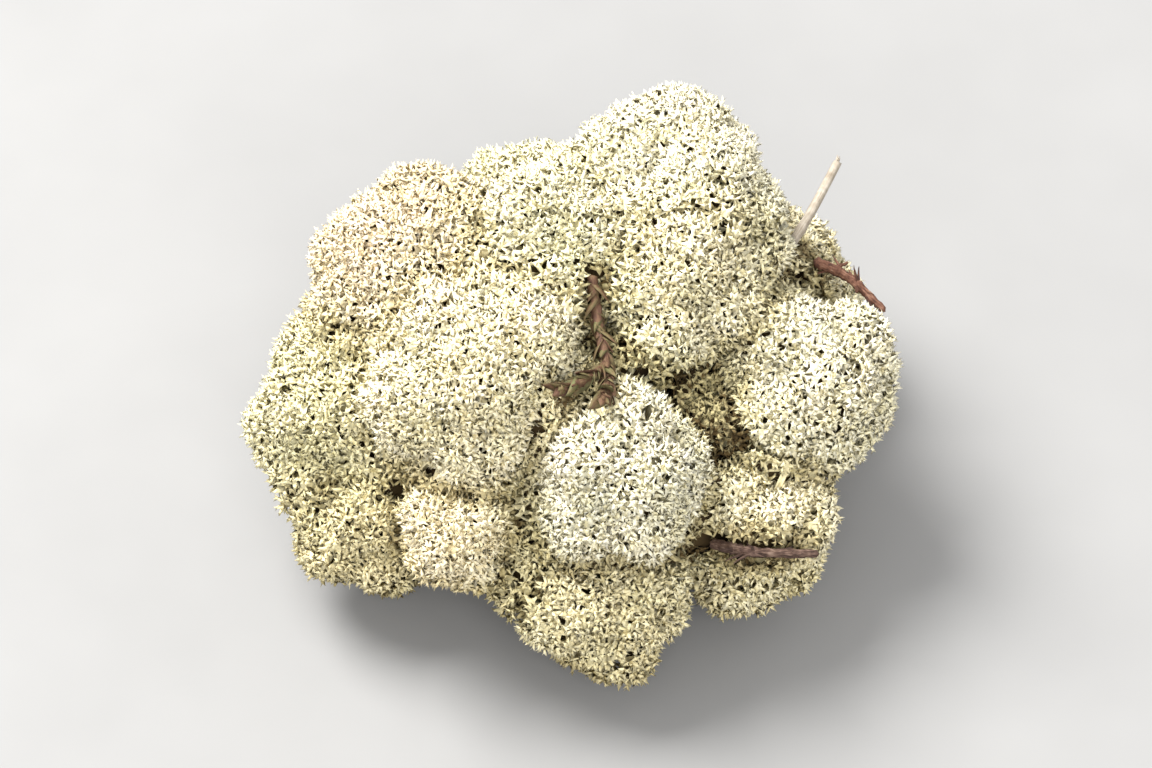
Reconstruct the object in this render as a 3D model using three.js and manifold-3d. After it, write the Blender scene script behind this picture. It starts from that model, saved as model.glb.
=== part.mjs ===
// A clump of reindeer moss (the cushion lichen Cladonia stellaris), lifted whole out of the ground.
// Eighteen podetia stand in a mat of dead older branches. Each podetium is a stem that forks into a
// cauliflower-like head, covered in small forked branchlets. Plant litter is caught between the heads.
// Millimetres, +Z up. The origin is the centre of the flat spot that the clump rests on.
import * as THREE from "three";
import { mergeVertices } from "three/addons/utils/BufferGeometryUtils.js";
import Module from "manifold-3d";

const wasm = await Module();
wasm.setup();

// ---------- Driving dimensions ----------

const SEED = 4880;
const GAP = 0.3; // clearance between pieces that touch
const MERGE_FLATTER = 0.03; // faces closer to flat than this are joined

// Each head: the centre of its dome, its radius and its colour. A crisp one keeps a deeper crevice round it.
const HEADS = [
  { name: "head_crown_left", at: [-16, 8, 27], radius: 12.5, color: 0xe8dbc0 },
  { name: "head_crown_right", at: [10, 16, 26], radius: 14.5, color: 0xede8d2 },
  { name: "head_top_back", at: [-3.5, 8.5, 29], radius: 11.2, color: 0xe3dcbc },
  { name: "head_top_front", at: [-9.5, -7.5, 27], radius: 12.8, color: 0xdfd8b4 },
  { name: "head_top_right", at: [11, 5, 27.6], radius: 10.2, color: 0xe5dfc2 },
  { name: "head_front", at: [3.8, -15.5, 22.5], radius: 11.4, color: 0xdfdccb, crisp: true },
  { name: "head_left", at: [-23.5, -3, 18.5], radius: 11, color: 0xd2cba6 },
  { name: "head_right", at: [22.5, -1, 19], radius: 11.6, color: 0xe0dabd, crisp: true },
  { name: "head_knob_front_left", at: [-11.5, -18, 18], radius: 7.8, color: 0xe5d2ae, crisp: true },
  { name: "head_back", at: [-5.5, 22.5, 17], radius: 10.4, color: 0xd6cfab },
  { name: "head_back_left", at: [-19.5, 17.5, 13.5], radius: 10.2, color: 0xd0c9a5 },
  { name: "head_back_right", at: [20, 15, 13.5], radius: 11, color: 0xd8d1af },
  { name: "head_low_left", at: [-20.5, -11.5, 10.5], radius: 9.8, color: 0xcbc39d },
  { name: "head_low_front", at: [3.5, -21, 11], radius: 10, color: 0xd5cdab },
  { name: "head_low_right", at: [17.5, -12.5, 11.5], radius: 10.8, color: 0xd9d2b4, crisp: true },
  { name: "head_hollow", at: [3, -4, 20.5], radius: 9.6, color: 0xcdc39c },
  { name: "head_low_middle", at: [-5, -15.5, 14], radius: 9.4, color: 0xcdc39c },
  { name: "head_cleft", at: [13, -4.5, 17.5], radius: 9.6, color: 0xc4ba93 },
];
const ROOT = new THREE.Vector3(0, 0, 4); // the domes face away from this point

// Small domes that make up a head, as shares of its radius.
const LOBES = 11;
const LOBE_COVER = THREE.MathUtils.degToRad(112); // how far round from its crown a head is lobed
const LOBE_REACH = 0.52;
const LOBE_RADIUS = 0.45;
const LOBE_JITTER = 0.12;
const HEART = 0.72; // the head's middle, between the lobes
const MERGE = 6; // neighbouring domes less than this far apart run together over the crevice
const CRISP_MERGE = 2.2; // the same beside a crisp one
const MERGE_STEPS = 12;
const UNDERSIDE = 0.5; // how much of the heart is left on the side of the stem
const UNDERSIDE_FROM = [0.1, 0.8]; // cosines from the stem's direction over which it draws in

// Forked branchlets that stand out of a head, on some of the facets of its dense core.
const CORE_DEPTH = 1.9; // how far the core lies under the ends of the branchlets
const CORE_ROUGH = 0.9;
const FINE_CORE = 9.3; // heads of a larger radius than this have smaller facets
const FORK_COVER = THREE.MathUtils.degToRad(125);
const FORK_STALK = 1.1;
const FORK_TAPER = 0.4; // how far the stalk draws in from its facet's edges
const PRONG_RISE = 1.2;
const PRONG_REACH = 0.85; // as a share of the way to the facet's corners
const AXIL = 0.1; // depth of the hollow between the prongs

// Stems, and the main branches that they fork into.
const STEM_FOOT = 0.42; // a foot's distance from the middle, as a share of its head's
const STEM_BEND = 0.62;
const STEM_SUNK = 3.2; // depth of a stem's foot in the mat
const STEM_RADIUS = [1.4, 1.9]; // at the foot and inside the head
const STEM_SIDES = 5;
const STEM_STEPS = 3;
const LIMBS = 4;
const LIMB_RADIUS = [1.2, 0.8];
const LIMB_START = [0.1, 0.4]; // where limbs leave the upper half of the stem

// The mat that holds the stems, and torn branch ends on some of its facets.
const MAT = { radius: [15, 13.5, 6], height: 4.8 };
const STUB_LENGTH = [2, 5.5];
const STUB_TAPER = 0.62;
const STUB_LEAN = 1.2;
const STUB_HIGHEST = 0.05; // no stubs where the mat faces up more than this

// Litter caught between the heads: twigs as lists of points with radii at both ends.
const SPRIG = {
  points: [[1.6, 1.8, 33.6], [2.4, -3.6, 31.4], [3.2, -9.4, 31.6], [2.8, -14.2, 34.2]],
  radii: [0.6, 0.45],
  leaves: 11,
};
const SIDE_SHOOT = {
  points: [[3, -7.8, 31.35], [1.2, -10.6, 32.8], [-1.2, -12.6, 33.6]],
  radii: [0.5, 0.4],
  leaves: 5,
};
const STRAW = { points: [[20.4, 9.8, 24.6], [24.2, 17, 24.8], [27.4, 24.6, 24.4]], radii: [0.6, 0.5] };
const BENT_TWIG = { points: [[25, 13, 22.3], [28.5, 12, 20.8], [32, 9, 19.3]], radii: [0.65, 0.45] };
const LOW_TWIG = { points: [[14, -18.5, 15.5], [18, -20.8, 17.2], [24.5, -20, 15.8]], radii: [0.65, 0.45] };
const LEAF = [1.7, 0.8, 0.6]; // half length, half width and half thickness
const LEAF_TURN = 2.2; // radians round the twig from one leaf to the next
const LEAF_STANDOFF = 1.2;
const LEAF_ROOM = 1.6; // a pointed leaf needs this many times the gap at its corners

const COLORS = { mat: 0x8a7a62, sprig: 0x8c6a45, straw: 0xd8cdb4, bentTwig: 0x8f5f45, lowTwig: 0x7d644a };

// ---------- Small tools ----------

const GOLDEN_TURN = Math.PI * (3 - Math.sqrt(5));

// A small seeded random number generator (mulberry32).
function randomFrom(seed) {
  let state = seed >>> 0;
  return () => {
    state = (state + 0x6d2b79f5) >>> 0;
    let t = state;
    t = Math.imul(t ^ (t >>> 15), t | 1);
    t ^= t + Math.imul(t ^ (t >>> 7), t | 61);
    return ((t ^ (t >>> 14)) >>> 0) / 4294967296;
  };
}

const vector = (list) => new THREE.Vector3(...list);
const between = (range, share) => range[0] + (range[1] - range[0]) * share;

// Two unit vectors square to a direction.
function sideways(direction) {
  const helper = Math.abs(direction.z) > 0.9 ? new THREE.Vector3(1, 0, 0) : new THREE.Vector3(0, 0, 1);
  const u = new THREE.Vector3().crossVectors(helper, direction).normalize();
  return [u, new THREE.Vector3().crossVectors(direction, u)];
}

// A point beside an axis through a centre: along it, and out from it at a turn.
function around(centre, axis, along, out, turn) {
  const [u, v] = sideways(axis);
  return centre
    .clone()
    .addScaledVector(axis, along)
    .addScaledVector(u, Math.cos(turn) * out)
    .addScaledVector(v, Math.sin(turn) * out);
}

// Direction number i of n, spread evenly over a cap around an axis.
function capDirection(axis, cover, i, n, twist) {
  const along = 1 - ((1 - Math.cos(cover)) * (i + 0.5)) / n;
  return around(new THREE.Vector3(), axis, along, Math.sqrt(1 - along * along), i * GOLDEN_TURN + twist);
}

// A round ball of triangles with shared corners.
function ball(detail) {
  const geometry = new THREE.IcosahedronGeometry(1, detail);
  return mergeVertices(geometry.deleteAttribute("normal").deleteAttribute("uv"));
}

// Moves every corner of a geometry to where a function puts it.
function moveCorners(geometry, place) {
  const corners = geometry.attributes.position;
  for (let i = 0; i < corners.count; i++) {
    const p = place(new THREE.Vector3().fromBufferAttribute(corners, i));
    corners.setXYZ(i, p.x, p.y, p.z);
  }
  return geometry;
}

// The corners and faces of a geometry, as lists.
function shapeOf(geometry) {
  const place = geometry.attributes.position;
  const index = Array.from(geometry.index.array);
  return {
    corners: Array.from({ length: place.count }, (_, i) => new THREE.Vector3().fromBufferAttribute(place, i)),
    faces: Array.from({ length: index.length / 3 }, (_, i) => index.slice(3 * i, 3 * i + 3)),
  };
}

// A closed three.js geometry as a manifold-3d solid.
function solid(geometry) {
  const bare = geometry.clone();
  bare.deleteAttribute("normal");
  bare.deleteAttribute("uv");
  const merged = mergeVertices(bare, 1e-4);
  const mesh = new wasm.Mesh({
    numProp: 3,
    vertProperties: new Float32Array(merged.attributes.position.array),
    triVerts: new Uint32Array(merged.index.array),
  });
  return new wasm.Manifold(mesh);
}

// The largest body of a solid, without loose scraps.
function largest(shape) {
  return shape
    .simplify(MERGE_FLATTER)
    .decompose()
    .reduce((a, b) => (a.volume() > b.volume() ? a : b));
}

// A named three.js mesh of a solid.
function meshOf(shape, name, color, roughness) {
  const made = shape.getMesh();
  const geometry = new THREE.BufferGeometry();
  geometry.setAttribute("position", new THREE.BufferAttribute(new Float32Array(made.vertProperties), 3));
  geometry.setIndex(new THREE.BufferAttribute(new Uint32Array(made.triVerts), 1));
  geometry.computeVertexNormals();
  const mesh = new THREE.Mesh(geometry, new THREE.MeshStandardMaterial({ color, roughness, metalness: 0 }));
  mesh.name = name;
  return mesh;
}

// A tapered round limb: a cylinder whose rings are carried along a curve through points.
// A grown limb is that much larger on every side.
function limb(points, radii, sides, steps, grow = 0) {
  const curve = new THREE.CatmullRomCurve3(points);
  const wider = grow / Math.cos(Math.PI / sides);
  const geometry = new THREE.CylinderGeometry(radii[1] + wider, radii[0] + wider, 1, sides, steps);
  return moveCorners(geometry, (corner) => {
    const t = corner.y + 0.5;
    const tangent = curve.getTangent(t);
    const [u, v] = sideways(tangent);
    return curve
      .getPoint(t)
      .addScaledVector(u, corner.z)
      .addScaledVector(v, corner.x)
      .addScaledVector(tangent, grow * 2 * corner.y);
  });
}

// ---------- Heads ----------

const centreOf = (head) => vector(head.at);
const axisOf = (head) => centreOf(head).sub(ROOT).normalize();

// The planes that part a head from its neighbours, set back on its own side.
function partings(head) {
  const own = centreOf(head);
  return HEADS.filter((other) => other !== head).map((other) => {
    const normal = centreOf(other).sub(own);
    const distance = normal.length();
    const middle = (distance ** 2 + head.radius ** 2 - other.radius ** 2) / (2 * distance);
    return { normal: normal.divideScalar(distance), limit: middle - GAP / 2 };
  });
}

// The share of the way from one point to another that stays inside a head's partings.
function shareInside(from, to, centre, planes) {
  let share = 1;
  for (const { normal, limit } of planes) {
    const start = from.clone().sub(centre).dot(normal);
    const end = to.clone().sub(centre).dot(normal);
    if (end > limit) share = Math.min(share, Math.max(0, (limit - start) / (end - start)));
  }
  return share;
}

// The piece of a solid that stays inside a head's partings.
function trimmed(shape, centre, planes) {
  return planes.reduce((kept, { normal, limit }) => {
    return kept.trimByPlane(normal.clone().negate().toArray(), -(limit + normal.dot(centre)));
  }, shape);
}

// The small domes of a head, from its crown outward.
function lobesOf(head, random) {
  return Array.from({ length: LOBES }, (_, i) => {
    const direction = capDirection(axisOf(head), LOBE_COVER, i, LOBES, 0.9 * (random() - 0.5));
    const reach = head.radius * (LOBE_REACH + LOBE_JITTER * (random() - 0.5));
    const radius = head.radius * (LOBE_RADIUS + LOBE_JITTER * (random() - 0.5));
    return { at: centreOf(head).addScaledVector(direction, reach), radius };
  });
}

// How far the lobed surface lies from the head's centre in a direction.
function lobedReach({ head, centre, lobes }, direction) {
  const facing = axisOf(head).dot(direction);
  const below = THREE.MathUtils.smoothstep(-facing, ...UNDERSIDE_FROM);
  let reach = head.radius * HEART * (1 - below * (1 - UNDERSIDE));
  for (const lobe of lobes) {
    const to = lobe.at.clone().sub(centre);
    const along = to.dot(direction);
    const square = lobe.radius ** 2 - (to.lengthSq() - along ** 2);
    if (square > 0) reach = Math.max(reach, along + Math.sqrt(square));
  }
  return reach;
}

// How far a point stands off a dome's surface: less than 0 inside it.
function standoff(dome, point) {
  const to = point.clone().sub(dome.centre);
  return to.length() - lobedReach(dome, to.normalize());
}

// How far a dome reaches in a direction, where it runs together with its neighbours over the crevice.
function domeReach(dome, direction) {
  const others = domes.filter((other) => other !== dome);
  let reach = lobedReach(dome, direction);
  for (let step = 0; step < MERGE_STEPS; step++) {
    const p = dome.centre.clone().addScaledVector(direction, reach);
    const own = standoff(dome, p);
    const next = others
      .map((other) => ({ off: standoff(other, p), crisp: other.head.crisp }))
      .reduce((a, b) => (a.off < b.off ? a : b));
    const merge = dome.head.crisp || next.crisp ? CRISP_MERGE : MERGE;
    const near = Math.max(0, 1 - Math.abs(own - next.off) / merge);
    reach -= Math.min(own, next.off) - (merge / 4) * near ** 2;
  }
  return reach;
}

// The dense core of a head: a ball's facets spread out to the dome, or flat where a neighbour presses.
function coreOf(dome, planes, random) {
  const { head, centre } = dome;
  const pressed = [];
  const geometry = moveCorners(ball(head.radius > FINE_CORE ? 2 : 1), (direction) => {
    const rough = CORE_ROUGH * (random() - 0.5);
    const reach = domeReach(dome, direction.normalize()) - CORE_DEPTH + rough;
    const p = centre.clone().addScaledVector(direction, reach);
    const share = shareInside(centre, p, centre, planes);
    pressed.push(share < 1);
    return centre.clone().lerp(p, share);
  });
  return { ...shapeOf(geometry), pressed };
}

// The corners and faces of a branchlet on a facet, whose end opens into three prongs round an axil.
function forkOn(facet, out) {
  const [a, b, c] = facet;
  const middle = a.clone().add(b).add(c).divideScalar(3);
  const neck = [[a, b], [b, c], [c, a]].map(([p, q]) => {
    return p.clone().lerp(q, 0.5).lerp(middle, FORK_TAPER).addScaledVector(out, FORK_STALK);
  });
  const axil = middle.clone().addScaledVector(out, FORK_STALK - AXIL);
  const tips = facet.map((corner) => {
    return middle.clone().lerp(corner, PRONG_REACH).addScaledVector(out, FORK_STALK + PRONG_RISE);
  });
  return [...neck, axil, ...tips];
}

// Faces of a branchlet: its facet's corners are 0 to 2, and forkOn's corners are 3 to 9.
const FORK_FACES = [0, 1, 2].flatMap((i) => {
  const next = (i + 1) % 3;
  const [axil, tip] = [6, 7 + next];
  const [near, far] = [3 + i, 3 + next];
  return [[i, next, near], [near, next, far], [near, far, tip], [far, axil, tip], [axil, near, tip]];
});

// Facets for branchlets or stubs, in a shuffled order, no two of them side by side.
function chooseFacets(faces, random, suits) {
  const order = faces.map((face, i) => ({ i, key: random() })).sort((p, q) => p.key - q.key);
  const taken = new Set();
  const chosen = new Set();
  for (const { i } of order) {
    const edges = faces[i].map((corner, k) => [corner, faces[i][(k + 1) % 3]].sort((p, q) => p - q).join());
    if (edges.some((edge) => taken.has(edge)) || !suits(faces[i])) continue;
    edges.forEach((edge) => taken.add(edge));
    chosen.add(i);
  }
  return chosen;
}

// Replaces the chosen facets of a shape by raised forms with the same outline.
function raise(shape, chosen, grow, formFaces) {
  const corners = [...shape.corners];
  const faces = [];
  shape.faces.forEach((face, i) => {
    if (!chosen.has(i)) {
      faces.push(face);
      return;
    }
    const first = corners.length;
    corners.push(...grow(face.map((corner) => shape.corners[corner])));
    const index = (k) => (k < 3 ? face[k] : first + k - 3);
    faces.push(...formFaces.map((form) => form.map(index)));
  });
  const geometry = new THREE.BufferGeometry().setFromPoints(corners);
  geometry.setIndex(faces.flat());
  return solid(geometry);
}

// The core with branchlets on it, wherever there is room for their prongs.
function headDome(dome, planes, random) {
  const { centre } = dome;
  const axis = axisOf(dome.head);
  const core = coreOf(dome, planes, random);
  const outward = (facet) => {
    return facet.reduce((sum, p) => sum.add(p), new THREE.Vector3()).addScaledVector(centre, -3).normalize();
  };
  const grow = (facet) => forkOn(facet, outward(facet));
  const suits = (face) => {
    if (face.some((corner) => core.pressed[corner])) return false;
    const facet = face.map((corner) => core.corners[corner]);
    if (outward(facet).dot(axis) < Math.cos(FORK_COVER)) return false;
    return grow(facet).every((p) => p.z > GAP && shareInside(centre, p, centre, planes) === 1);
  };
  return raise(core, chooseFacets(core.faces, random, suits), grow, FORK_FACES);
}

// Height of the mat's top where a head's stem enters it.
function footHeight(head) {
  const x = (head.at[0] * STEM_FOOT) / MAT.radius[0];
  const y = (head.at[1] * STEM_FOOT) / MAT.radius[1];
  return MAT.height + MAT.radius[2] * Math.sqrt(Math.max(0, 1 - x * x - y * y)) - 1;
}

function stemOf(head, grow) {
  return solid(limb(stemPath(head), STEM_RADIUS, STEM_SIDES, STEM_STEPS, grow));
}

function stemPath(head) {
  const centre = centreOf(head);
  const foot = new THREE.Vector3(centre.x * STEM_FOOT, centre.y * STEM_FOOT, footHeight(head) - STEM_SUNK);
  const bend = new THREE.Vector3(centre.x * STEM_BEND, centre.y * STEM_BEND, (foot.z + centre.z) / 2);
  return [foot, bend, centre];
}

// The stem, and limbs that rise from it to the lobes round the head's rim.
function headStem({ head, lobes }, planes, random) {
  const path = stemPath(head);
  const limbs = lobes.slice(-LIMBS).map((lobe) => {
    const start = path[1].clone().lerp(path[2], between(LIMB_START, random()));
    const sag = start.clone().lerp(lobe.at, 0.5).addScaledVector(axisOf(head), -0.8);
    return trimmed(solid(limb([start, sag, lobe.at], LIMB_RADIUS, 4, 1)), centreOf(head), planes);
  });
  return [stemOf(head, 0), ...limbs];
}

function makeHead(dome) {
  const planes = partings(dome.head);
  const body = headDome(dome, planes, dome.random);
  return wasm.Manifold.union([body, ...headStem(dome, planes, dome.random)]);
}

const domes = HEADS.map((head, index) => {
  const random = randomFrom(SEED + index);
  return { head, random, centre: centreOf(head), lobes: lobesOf(head, random) };
});

// ---------- The mat of dead branches ----------

// A low lumpy cushion of facets.
function matCore() {
  return moveCorners(ball(3), (corner) => {
    const d = corner.normalize();
    const lump = 1 + 0.09 * Math.sin(5 * d.x + 2) * Math.cos(6 * d.y) + 0.05 * Math.sin(9 * d.z + 7 * d.x);
    const [a, b, c] = MAT.radius;
    return new THREE.Vector3(d.x * a * lump, d.y * b * lump, MAT.height + d.z * c * lump);
  });
}

// Faces of a stub: its facet's corners are 0 to 2 and its torn end is 3 to 5.
const STUB_FACES = [[0, 1, 3], [1, 4, 3], [1, 2, 4], [2, 5, 4], [2, 0, 5], [0, 3, 5], [3, 4, 5]];

// The mat, flat underneath, with a hole for each stem.
function makeMat(stemRoom) {
  const random = randomFrom(SEED + 200);
  const core = shapeOf(matCore());
  const heart = new THREE.Vector3(0, 0, MAT.height);
  const middleOf = (facet) => facet.reduce((sum, p) => sum.add(p), new THREE.Vector3()).divideScalar(3);
  const suits = (face) => {
    const out = middleOf(face.map((corner) => core.corners[corner])).sub(heart);
    return out.normalize().z < STUB_HIGHEST;
  };
  const grow = (facet) => {
    const middle = middleOf(facet);
    const out = middle.clone().sub(heart).normalize();
    const end = around(middle, out, between(STUB_LENGTH, random()), STUB_LEAN, random() * 2 * Math.PI);
    return facet.map((corner) => corner.clone().lerp(middle, STUB_TAPER).sub(middle).add(end));
  };
  const whole = raise(core, chooseFacets(core.faces, random, suits), grow, STUB_FACES);
  return wasm.Manifold.difference([whole.trimByPlane([0, 0, 1], 0), ...stemRoom]);
}

// ---------- Litter ----------

function twig({ points, radii }, grow) {
  return solid(limb(points.map(vector), radii, 5, 5, grow));
}

// One scale leaf, a thin pointed lozenge.
function leaf(at, direction, grow) {
  const [length, width, thick] = LEAF.map((half) => half + grow * LEAF_ROOM);
  const [u, v] = sideways(direction);
  const geometry = moveCorners(new THREE.OctahedronGeometry(1, 0), (corner) => {
    return at
      .clone()
      .addScaledVector(direction, corner.x * length)
      .addScaledVector(u, corner.y * width)
      .addScaledVector(v, corner.z * thick);
  });
  return solid(geometry);
}

// A heather twig with scale leaves round it.
function sprig(shape, grow) {
  const random = randomFrom(SEED + 300);
  const curve = new THREE.CatmullRomCurve3(shape.points.map(vector));
  const leaves = Array.from({ length: shape.leaves }, (_, i) => {
    const t = (i + 0.5) / shape.leaves;
    const along = curve.getTangent(t);
    const out = around(new THREE.Vector3(), along, 1, 1, i * LEAF_TURN + 0.6 * random()).normalize();
    return leaf(curve.getPoint(t).addScaledVector(out, LEAF_STANDOFF), out, grow);
  });
  return wasm.Manifold.union([twig(shape, grow), ...leaves]);
}

const LITTER = [
  {
    name: "litter_heather_sprig",
    make: (grow) => sprig(SPRIG, grow).add(sprig(SIDE_SHOOT, grow)),
    color: COLORS.sprig,
  },
  { name: "litter_straw", make: (grow) => twig(STRAW, grow), color: COLORS.straw },
  { name: "litter_bent_twig", make: (grow) => twig(BENT_TWIG, grow), color: COLORS.bentTwig },
  { name: "litter_low_twig", make: (grow) => twig(LOW_TWIG, grow), color: COLORS.lowTwig },
];

// ---------- The clump ----------

const heads = domes.map(makeHead);
const stemRoom = HEADS.map((head) => stemOf(head, GAP));
const litterRoom = LITTER.map((piece) => piece.make(GAP));

const clump = new THREE.Group();
heads.forEach((head, i) => {
  const room = stemRoom.filter((_, j) => j !== i).concat(litterRoom);
  const cut = wasm.Manifold.difference([head, ...room]);
  clump.add(meshOf(largest(cut), HEADS[i].name, HEADS[i].color, 0.95));
});
clump.add(meshOf(largest(makeMat(stemRoom)), "old_branch_mat", COLORS.mat, 1));
LITTER.forEach((piece) => clump.add(meshOf(largest(piece.make(0)), piece.name, piece.color, 0.8)));

export default clump;
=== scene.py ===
"""A clump of reindeer moss in Blender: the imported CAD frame, its nodes replaced by real branching forms."""
import math

import bmesh
import bpy
import numpy as np
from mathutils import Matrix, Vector


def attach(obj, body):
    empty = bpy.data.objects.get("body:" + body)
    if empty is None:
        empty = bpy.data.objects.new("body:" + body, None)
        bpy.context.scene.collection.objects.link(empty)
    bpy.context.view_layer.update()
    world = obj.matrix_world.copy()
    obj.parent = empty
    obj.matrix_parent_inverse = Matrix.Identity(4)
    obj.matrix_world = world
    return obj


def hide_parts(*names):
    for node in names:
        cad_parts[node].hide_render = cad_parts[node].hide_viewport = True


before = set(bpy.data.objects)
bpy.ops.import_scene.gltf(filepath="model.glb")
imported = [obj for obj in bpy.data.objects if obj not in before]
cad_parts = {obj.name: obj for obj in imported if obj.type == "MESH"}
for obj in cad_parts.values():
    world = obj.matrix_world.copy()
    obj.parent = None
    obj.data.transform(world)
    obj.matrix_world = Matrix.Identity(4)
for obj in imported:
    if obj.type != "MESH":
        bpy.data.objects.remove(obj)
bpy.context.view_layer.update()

MM = 0.001  # the driving dimensions are in millimetres, as in the CAD
SEED = 4880
LOBULE_SEED, MAT_SEED, LITTER_SEED = SEED + 500, SEED + 200, SEED + 300
TURN = 2 * math.pi

# ----- The heads, as in the CAD -----

# name: centre of the dome, radius, tint, how much older and darker it looks, which is painted shade for the
# heads that lie low or in crevices, and how open its mesh of branchlets is
HEADS = {
    "head_crown_left": ((-16, 8, 27), 12.5, "pinkish", 0, 0.95),
    "head_crown_right": ((10, 16, 26), 14.5, "white", 0, 0.97),
    "head_top_back": ((-3.5, 8.5, 29), 11.2, "greenish", 0, 1.0),
    "head_top_front": ((-9.5, -7.5, 27), 12.8, "cream", 0, 0.95),
    "head_top_right": ((11, 5, 27.6), 10.2, "cream", 0, 1.0),
    "head_front": ((3.8, -15.5, 22.5), 11.4, "greyish", 0, 1.06),
    "head_left": ((-23.5, -3, 18.5), 11, "greenish", 0.08, 1.0),
    "head_right": ((22.5, -1, 19), 11.6, "white", 0, 1.02),
    "head_knob_front_left": ((-11.5, -18, 18), 7.8, "tan", 0, 0.9),
    "head_back": ((-5.5, 22.5, 17), 10.4, "greenish", 0.03, 1.03),
    "head_back_left": ((-19.5, 17.5, 13.5), 10.2, "cream", 0.05, 1.03),
    "head_back_right": ((20, 15, 13.5), 11, "cream", 0.03, 1.05),
    "head_low_left": ((-20.5, -11.5, 10.5), 9.8, "cream", 0.14, 1.0),
    "head_low_front": ((3.5, -21, 11), 10, "cream", 0.08, 1.02),
    "head_low_right": ((17.5, -12.5, 11.5), 10.8, "cream", 0.02, 1.05),
    "head_hollow": ((3, -4, 20.5), 9.6, "greenish", 0.32, 1.12),
    "head_low_middle": ((-5, -15.5, 14), 9.4, "greenish", 0.12, 1.1),
    "head_cleft": ((13, -4.5, 17.5), 9.6, "greenish", 0.44, 1.15),
}
ROOT = np.array([0.0, 0.0, 4.0])  # the domes face away from this point
LOBES = 11
LOBE_COVER = math.radians(112)  # how far round from its crown a head is lobed
LOBE_TWIST = 0.9
LOBE_REACH, LOBE_RADIUS, LOBE_JITTER = 0.52, 0.45, 0.12  # as shares of the head's radius
HEART = 0.72  # the head's middle, between the lobes
MERGE = 6  # neighbouring domes less than this far apart run together over the crevice
CRISP_MERGE = 2.2  # the same beside a crisp one
CRISP = {"head_front", "head_right", "head_knob_front_left", "head_low_right"}
MERGE_STEPS = 12
STEM_FOOT, STEM_BEND = 0.42, 0.62  # their distances from the middle, as shares of their head's
MAT_RADIUS = np.array([15, 13.5, 6])
MAT_HEIGHT = 4.8
MAT_MIDDLE = np.array([0, 0, MAT_HEIGHT])

# ----- The branches -----

FURROW_WIDTH = 3.6  # between heads
LOBULE_HEIGHT = 0.75  # of the smallest lobes, which the CAD leaves out
LOBULE_WAVE = 8.5
LOBULE_WAVES = 6
SLOPE_STEP = 0.4  # over which a dome's slope is measured
WHORL_SPACING = 1.15
WHORL_ROOM = 0.87  # the area for one whorl, as a share of the square of their spacing
SPACING_JITTER = 0.14
WHORL_COVER = math.radians(128)
WHORL_HEIGHT = 0.75  # from a whorl's middle to its tips
WHORL_LEAN = 0.2  # how unevenly whorls face
WHORL_KINDS = {3: 0.15, 4: 0.55, 5: 0.3}  # how common whorls of 3, 4 and 5 branchlets are
LOWEST_WHORL = 1.6  # over the ground
BRANCHLET = (0.62, 0.88)
BRANCHLET_TILT = (math.radians(57), 0.25)  # and its spread, as a share
BRANCHLET_SWAY = 0.12
TIP_LENGTH = (0.34, 0.56)
TIP_TILT = (math.radians(45), 0.3)
SHORT_TIPS = (0.2, 0.3)  # the share of tips that stayed short, and how short
TIPS = 3
FORKED_SHARE = 0.8  # the share of branchlets that end in that many tips
SINGLE_TIP = 1.2  # how much longer one with a single tip is
AXIL_HOLE = 0.35  # radius of the open axil in the middle of a whorl of three
AXIL_SPREAD = (0.9, 1.15)
AXIL_WIDER = 0.12  # for each branchlet more
WHORL_AXIL = (0.06, 1.3)  # how much older an axil's rim looks, and its depth as a share of its radius
TIP_AXIL = (0.02, 0.35)
FORK_JITTER = 0.2  # in radians round the fork
TWIG_END = (0.17, 0.2)  # radius of a branchlet where its tips part, and its spread
THINNEST = 0.3  # radius of the stalk under one whorl
THICKENING = 0.24  # a stalk's radius goes up with this power of the number of whorls on it
FORKS = {3: 0.3, 4: 0.45, 5: 0.25}  # how common forks into 3, 4 and 5 limbs are
FEW_WHORLS = 4  # up to this many, each has a limb of its own
SORTING_ROUNDS = 6
FORK_DEPTH = 0.95  # how deep limbs fork under their whorls, as a share of the whorls' spread
DEEPEST_FORK = 0.15  # past the head's centre, as a share of its radius
LIMB_SWAY, KNEE_SWAY = 0.06, 0.07  # how far forks and knees stray, as shares of a limb's length
# how much darker the hollow of a limb's fork is painted, as shade, and its depth as a share of the limb's
# radius
LIMB_AXIL = (0.15, 0.8)
BLANK_TURN = 2.1  # from the last of a fork's limbs to one that doesn't grow
KNEE_FROM = 1.6  # limbs longer than this have a bend half way
KNEE_RADIUS = 0.92
STEMS = 3  # in a head, twined round each other
STEM_SUNK = 3  # depth of a stem's foot in the mat
STEM_SIDES = 9
STEM_STEPS = 13
STEM_ROUGH = 0.13
STEM_TOP = 0.9  # the share of a stem's points below its first fork
STEM_BOW = 0.05
STEM_TAPER = 0.85
COIL, COIL_TURN = 0.85, 4  # how far out the stems twine and how many radians round
FOOT_CAP, TIP_CAP = 0.5, 0.7  # how far a limb's closed ends stand out, as a share of its radius
NEIGHBOUR_GAP = 0.12  # room kept between whorls and a neighbouring head
PRESSED_DEPTHS = (1.9, 3.6)  # depths in the crevice between two heads over which whorls grow sparse
SPARSE = 0.12  # the share of them that is kept further down
SPARSE_BELOW = (0.3, 1.0)  # how far down a dome faces, over which they grow sparse
BARE_BELOW = 0.52  # how strong that is, where 1 is as sparse as in a crevice
CREVICE_SHADE_AND_AGE = 0.13  # a whorl looks this much darker for each millimetre down a crevice: painted shade, and older branches there
PAINTED_FURROW_SHADE = (0.08, 0.25)  # painted shade along a furrow between heads: a soft one, a crisp one
PAINTED_SHADE_BELOW = 0.35  # painted shade under a head
PAINTED_SHADE_IN_SMALL_FURROWS = 0.05  # painted shade between the smallest lobes
SHADED_BELOW = (0.1, 0.75)
WHORL_SHADES = 0.12  # how much whorls differ in age
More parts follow.
